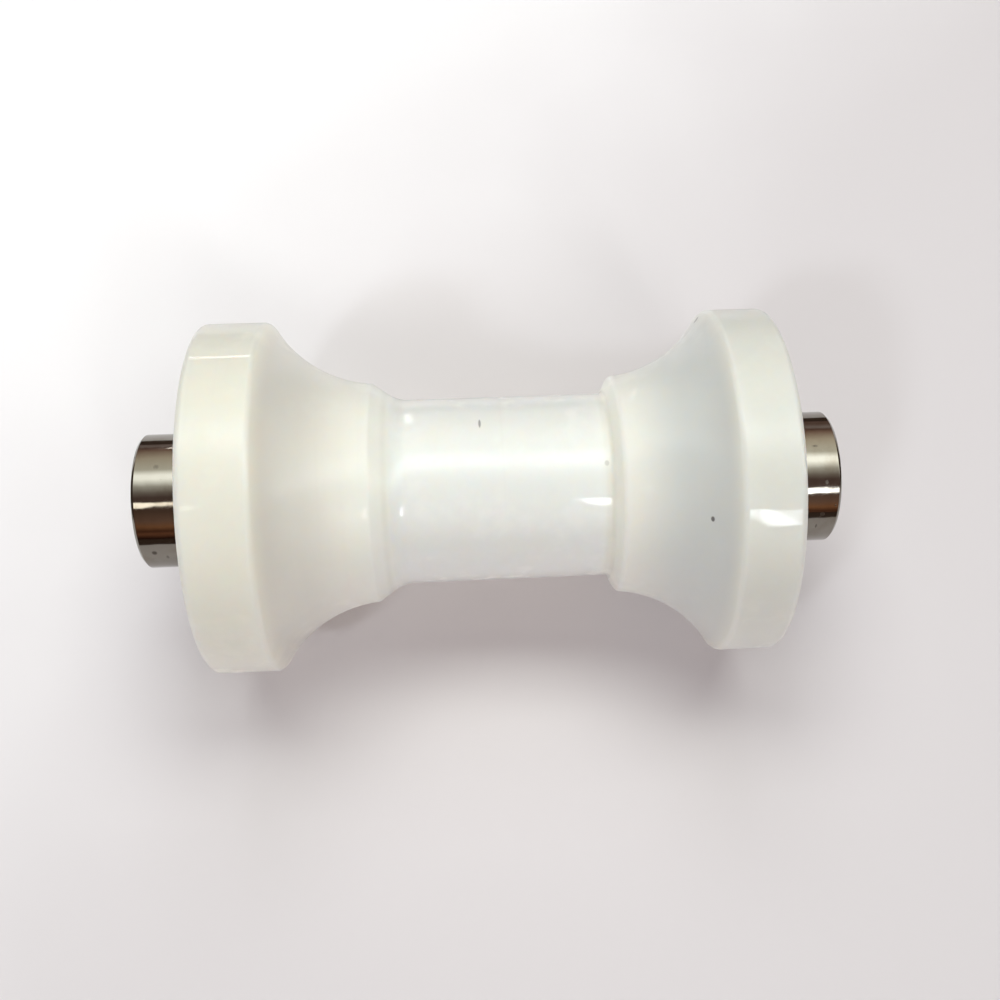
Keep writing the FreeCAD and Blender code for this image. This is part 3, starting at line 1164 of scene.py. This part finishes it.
@dataclass(frozen=True)
class Studio:
    """The floor, the room that shiny pieces mirror, and the lamps."""

    floor_size: float = 4.0
    ambient_front: Colour = (0.240, 0.196, 0.215)
    ambient_back: Colour = (0.060, 0.030, 0.030)
    backdrop: Colour = (0.92, 0.90, 0.91)
    # Heights in the room run from the front horizon (0) over the top (0.5) to the back horizon (1).
    room_start: float = -0.10
    room_end: float = 1.05
    room_slant: float = 0.12
    # The even light is the front's from the second X on, and mirrors dim towards the first Y.
    front_light: tuple[float, float] = (-0.3, 0.8)
    left_dim: tuple[float, float] = (-0.6, -0.05)
    left_fade: float = 0.5
    room: tuple[RoomBand, ...] = (
        RoomBand("front_floor", -0.03, (0.05, 0.015, 0.01)),
        RoomBand("front_drawer", 0.02, (0.36, 0.15, 0.08)),
        RoomBand("front_gap", 0.045, (0.15, 0.055, 0.03)),
        RoomBand("front_cupboard", 0.09, (0.50, 0.23, 0.11)),
        RoomBand("front_shelf", 0.145, (0.36, 0.21, 0.15)),
        RoomBand("front_shade", 0.24, (0.20, 0.12, 0.085)),
        RoomBand("front_beam", 0.37, (0.22, 0.15, 0.13)),
        RoomBand("front_wall", 0.415, (0.48, 0.42, 0.37)),
        RoomBand("ceiling_edge", 0.475, (1.20, 1.20, 1.10)),
        RoomBand("tube_lamp_front", 0.55, (3.80, 4.00, 3.90)),
        RoomBand("tube_lamp_back", 0.585, (3.80, 4.00, 3.90)),
        RoomBand("ceiling", 0.64, (1.60, 1.60, 1.40)),
        RoomBand("back_wall", 0.77, (1.25, 1.12, 0.90)),
        RoomBand("back_shelf", 0.87, (0.55, 0.36, 0.28)),
        RoomBand("back_gap", 0.905, (0.22, 0.12, 0.09)),
        RoomBand("back_panel", 0.935, (0.52, 0.44, 0.42)),
        RoomBand("back_floor", 0.985, (0.26, 0.17, 0.14)),
    )
    lamps: tuple[Lamp, ...] = (
        Lamp("ceiling", (-0.21, 0.02, 0.74), 0.80, 0.28, 2.12, (0.935, 1.0, 0.96)),
        Lamp("back_window", (-0.45, 0.00, 0.62), 0.30, 0.30, 0.58, (0.84, 0.88, 0.95)),
        Lamp("front_window", (0.50, -0.41, 0.626), 0.09, 0.09, 0.50, (0.85, 0.93, 1.0)),
        Lamp("right_window", (0.57, 0.13, 0.60), 0.30, 0.15, 0.22, (0.97, 0.97, 0.93)),
        Lamp("left_pane", (0.438, -0.30, 0.740), 0.08, 0.13, 0.050, (1.0, 0.97, 0.88), True),
        Lamp("right_pane", (0.68, 0.270, 0.583), 0.05, 0.17, 0.20, (0.92, 0.97, 1.0), True),
        Lamp("side_pane", (0.67, 0.325, 0.575), 0.05, 0.15, 0.08, (0.92, 0.97, 1.0), True),
        Lamp("middle_pane", (0.646, 0.123, 0.641), 0.035, 0.15, 0.08, (0.95, 0.98, 1.0), True),
        Lamp("far_pane", (-0.885, -0.072, 0.19), 0.04, 0.30, 0.07, (1.0, 1.0, 1.0), True),
        Lamp("back_pane", (-0.87, -0.22, 0.21), 0.10, 0.03, 0.025, (1.0, 1.0, 1.0), True),
    )

    def build(self) -> None:
        """Makes the floor, the world and the lamps."""
        bpy.ops.object.select_all(action="DESELECT")
        bpy.ops.mesh.primitive_plane_add(size=self.floor_size, location=(0, 0, CAD_BOX[0][2]))
        floor = bpy.context.object
        floor.name = "floor"
        floor.data.materials.append(PaleFloor().make())
        self._world()
        for lamp in self.lamps:
            lamp.build()
        bpy.context.scene.view_settings.view_transform = "Standard"

    def room_stops(self) -> list[tuple[float, Colour]]:
        """The room's stops as shares of the way from its start to its end."""
        span = self.room_end - self.room_start
        return [((band.height - self.room_start) / span, band.colour) for band in self.room]

    def _world(self) -> None:
        """Makes the world: even light, with a room for mirror rays and a pale backdrop for the camera."""
        world = bpy.data.worlds.new("room")
        world.use_nodes = True
        graph = Graph(world.node_tree)
        x, y, z = graph.split(graph.node("TexCoord", {}, {}, "Generated"))
        height = graph.node("Math", {"operation": "ARCTAN2"}, {0: z, 1: x}) / math.pi + y * self.room_slant
        share = (height - self.room_start) / (self.room_end - self.room_start)
        room = graph.node("ValToRGB", {"stops": self.room_stops()}, {"Fac": share})
        mirror = graph.node("LightPath", {}, {}, "Is Glossy Ray")
        camera = graph.node("LightPath", {}, {}, "Is Camera Ray")
        ambient = graph.mix(graph.smooth(x, *self.front_light), self.ambient_back, self.ambient_front)
        colour = graph.mix(camera, graph.mix(mirror, ambient, room), self.backdrop)
        left = 1.0 - graph.smooth(y, *self.left_dim)
        strength = 1.0 - mirror * left * self.left_fade
        graph.output("OutputWorld", graph.node("Background", {}, {"Color": colour, "Strength": strength}))
        bpy.context.scene.world = world


def main() -> None:
    """Builds and dresses the wheel and sets up the picture."""
    PhotoCamera().build()
    finishes = Finishes()
    wheel = NylonWheel()
    wheel.dress(wheel.build())
    spacer = SpacerTube()
    spacer.dress(spacer.build())
    for end in End:
        bearing = BallBearing(end)
        bearing.dress(bearing.build(), finishes)
        bush = EndBush(end)
        bush.dress(bush.build(), finishes)
    Studio().build()


if __name__ == "__main__":
    logging.basicConfig(level=logging.INFO, format="%(message)s")
    main()
